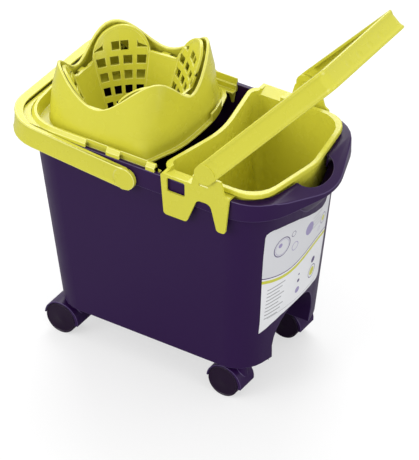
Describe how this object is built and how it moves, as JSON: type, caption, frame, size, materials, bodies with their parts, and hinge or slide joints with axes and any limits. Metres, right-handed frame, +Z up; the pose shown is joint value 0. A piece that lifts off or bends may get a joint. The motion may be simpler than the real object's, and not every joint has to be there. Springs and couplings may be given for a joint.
{
  "type": "mop bucket",
  "caption": "Two-compartment mop bucket on swivel castors, with a twist-mop wringer over the back half, a lift-out rinse bucket over the pouring end and two bail handles.",
  "frame": {"origin": "on the floor under the middle of the whole object as it stands, rinse bucket handle raised", "axes": "+X towards the pouring nose, +Y to the left, +Z up"},
  "size_m": [0.5026, 0.262, 0.5749],
  "materials": {
    "purple_plastic": "satin moulded",
    "lime_plastic": "semi-gloss moulded",
    "steel": "plain"
  },
  "bodies": {
    "bucket": {"outer_bucket": "purple_plastic"},
    "castor_rear_left": {"castor_rear_left_hood": "purple_plastic", "castor_rear_left_stem": "steel"},
    "castor_rear_left_wheels": {"castor_rear_left_axle": "steel", "castor_rear_left_wheel_left": "purple_plastic", "castor_rear_left_wheel_right": "purple_plastic"},
    "castor_rear_right": {"castor_rear_right_hood": "purple_plastic", "castor_rear_right_stem": "steel"},
    "castor_rear_right_wheels": {"castor_rear_right_axle": "steel", "castor_rear_right_wheel_left": "purple_plastic", "castor_rear_right_wheel_right": "purple_plastic"},
    "castor_front_left": {"castor_front_left_hood": "purple_plastic", "castor_front_left_stem": "steel"},
    "castor_front_left_wheels": {"castor_front_left_axle": "steel", "castor_front_left_wheel_left": "purple_plastic", "castor_front_left_wheel_right": "purple_plastic"},
    "castor_front_right": {"castor_front_right_hood": "purple_plastic", "castor_front_right_stem": "steel"},
    "castor_front_right_wheels": {"castor_front_right_axle": "steel", "castor_front_right_wheel_left": "purple_plastic", "castor_front_right_wheel_right": "purple_plastic"},
    "carry_handle": {"carry_handle": "lime_plastic"},
    "wringer_body": {"wringer_body": "lime_plastic"},
    "wringer_basket": {"wringer_basket": "lime_plastic"},
    "rinse_bucket": {"rinse_bucket": "lime_plastic"},
    "rinse_handle": {"rinse_handle": "lime_plastic"}
  },
  "joints": [
    {"name": "castor_rear_left_swivel", "type": "hinge", "parent": "bucket", "child": "castor_rear_left", "pos_m": [-0.16017, 0.078, 0.05], "axis": [0, 0, 1], "continuous": true},
    {"name": "castor_rear_left_roll", "type": "hinge", "parent": "castor_rear_left", "child": "castor_rear_left_wheels", "pos_m": [-0.18017, 0.078, 0.0235], "axis": [0, 1, 0], "continuous": true},
    {"name": "castor_rear_right_swivel", "type": "hinge", "parent": "bucket", "child": "castor_rear_right", "pos_m": [-0.16017, -0.078, 0.05], "axis": [0, 0, 1], "continuous": true},
    {"name": "castor_rear_right_roll", "type": "hinge", "parent": "castor_rear_right", "child": "castor_rear_right_wheels", "pos_m": [-0.18017, -0.078, 0.0235], "axis": [0, 1, 0], "continuous": true},
    {"name": "castor_front_left_swivel", "type": "hinge", "parent": "bucket", "child": "castor_front_left", "pos_m": [0.10683, 0.078, 0.05], "axis": [0, 0, 1], "continuous": true},
    {"name": "castor_front_left_roll", "type": "hinge", "parent": "castor_front_left", "child": "castor_front_left_wheels", "pos_m": [0.08683, 0.078, 0.0235], "axis": [0, 1, 0], "continuous": true},
    {"name": "castor_front_right_swivel", "type": "hinge", "parent": "bucket", "child": "castor_front_right", "pos_m": [0.10683, -0.078, 0.05], "axis": [0, 0, 1], "continuous": true},
    {"name": "castor_front_right_roll", "type": "hinge", "parent": "castor_front_right", "child": "castor_front_right_wheels", "pos_m": [0.08683, -0.078, 0.0235], "axis": [0, 1, 0], "continuous": true},
    {"name": "carry_handle_hinge", "type": "hinge", "parent": "bucket", "child": "carry_handle", "pos_m": [-0.04767, 0, 0.328], "axis": [0, -1, 0], "range_deg": [-100, 0]},
    {"name": "wringer_body_lift", "type": "slide", "parent": "bucket", "child": "wringer_body", "axis": [0, 0, 1], "range_m": [0, 0.085]},
    {"name": "wringer_basket_lift", "type": "slide", "parent": "wringer_body", "child": "wringer_basket", "axis": [0, 0, 1], "range_m": [0, 0.17]},
    {"name": "rinse_bucket_lift", "type": "slide", "parent": "bucket", "child": "rinse_bucket", "axis": [0, 0, 1], "range_m": [0, 0.22]},
    {"name": "rinse_handle_hinge", "type": "hinge", "parent": "rinse_bucket", "child": "rinse_handle", "pos_m": [0.07883, 0, 0.382], "axis": [0, -1, 0], "range_deg": [-48, 56]}
  ]
}
